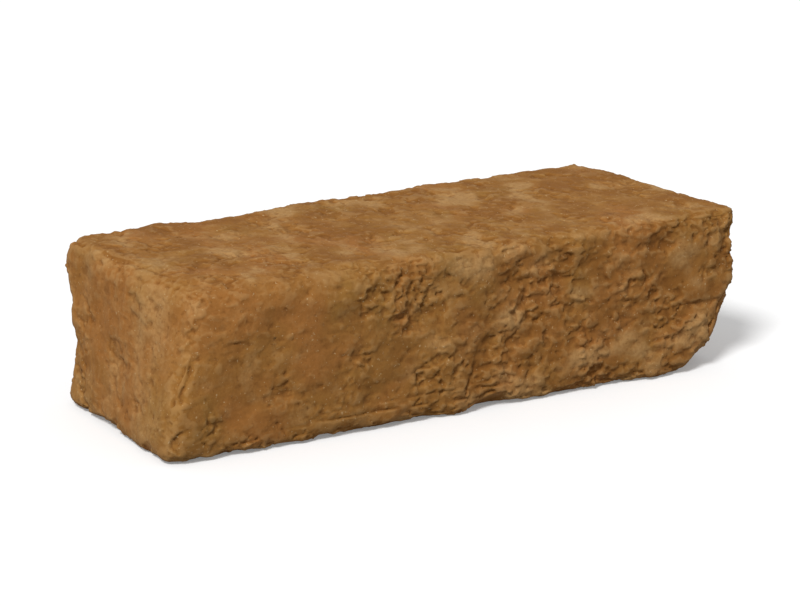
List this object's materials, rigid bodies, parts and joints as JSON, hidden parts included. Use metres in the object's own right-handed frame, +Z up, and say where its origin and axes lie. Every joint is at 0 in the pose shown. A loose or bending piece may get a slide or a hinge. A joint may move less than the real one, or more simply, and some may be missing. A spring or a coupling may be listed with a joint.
{
  "type": "stacking block",
  "caption": "Tumbled concrete block with flat bed faces, rough split sides, worn arrises and a broken corner, laid dry in stacked garden walls.",
  "frame": {"origin": "middle of the block's bounding box, on its bottom bed face", "axes": "+X along the block towards the end with the broken corner, +Y from the front face to the back, +Z up through the beds"},
  "size_m": [0.402, 0.142, 0.1],
  "materials": {
    "tumbled_concrete": "matt, rough, sandy brown"
  },
  "bodies": {
    "root": {"stacking_block": "tumbled_concrete"}
  },
  "joints": []
}
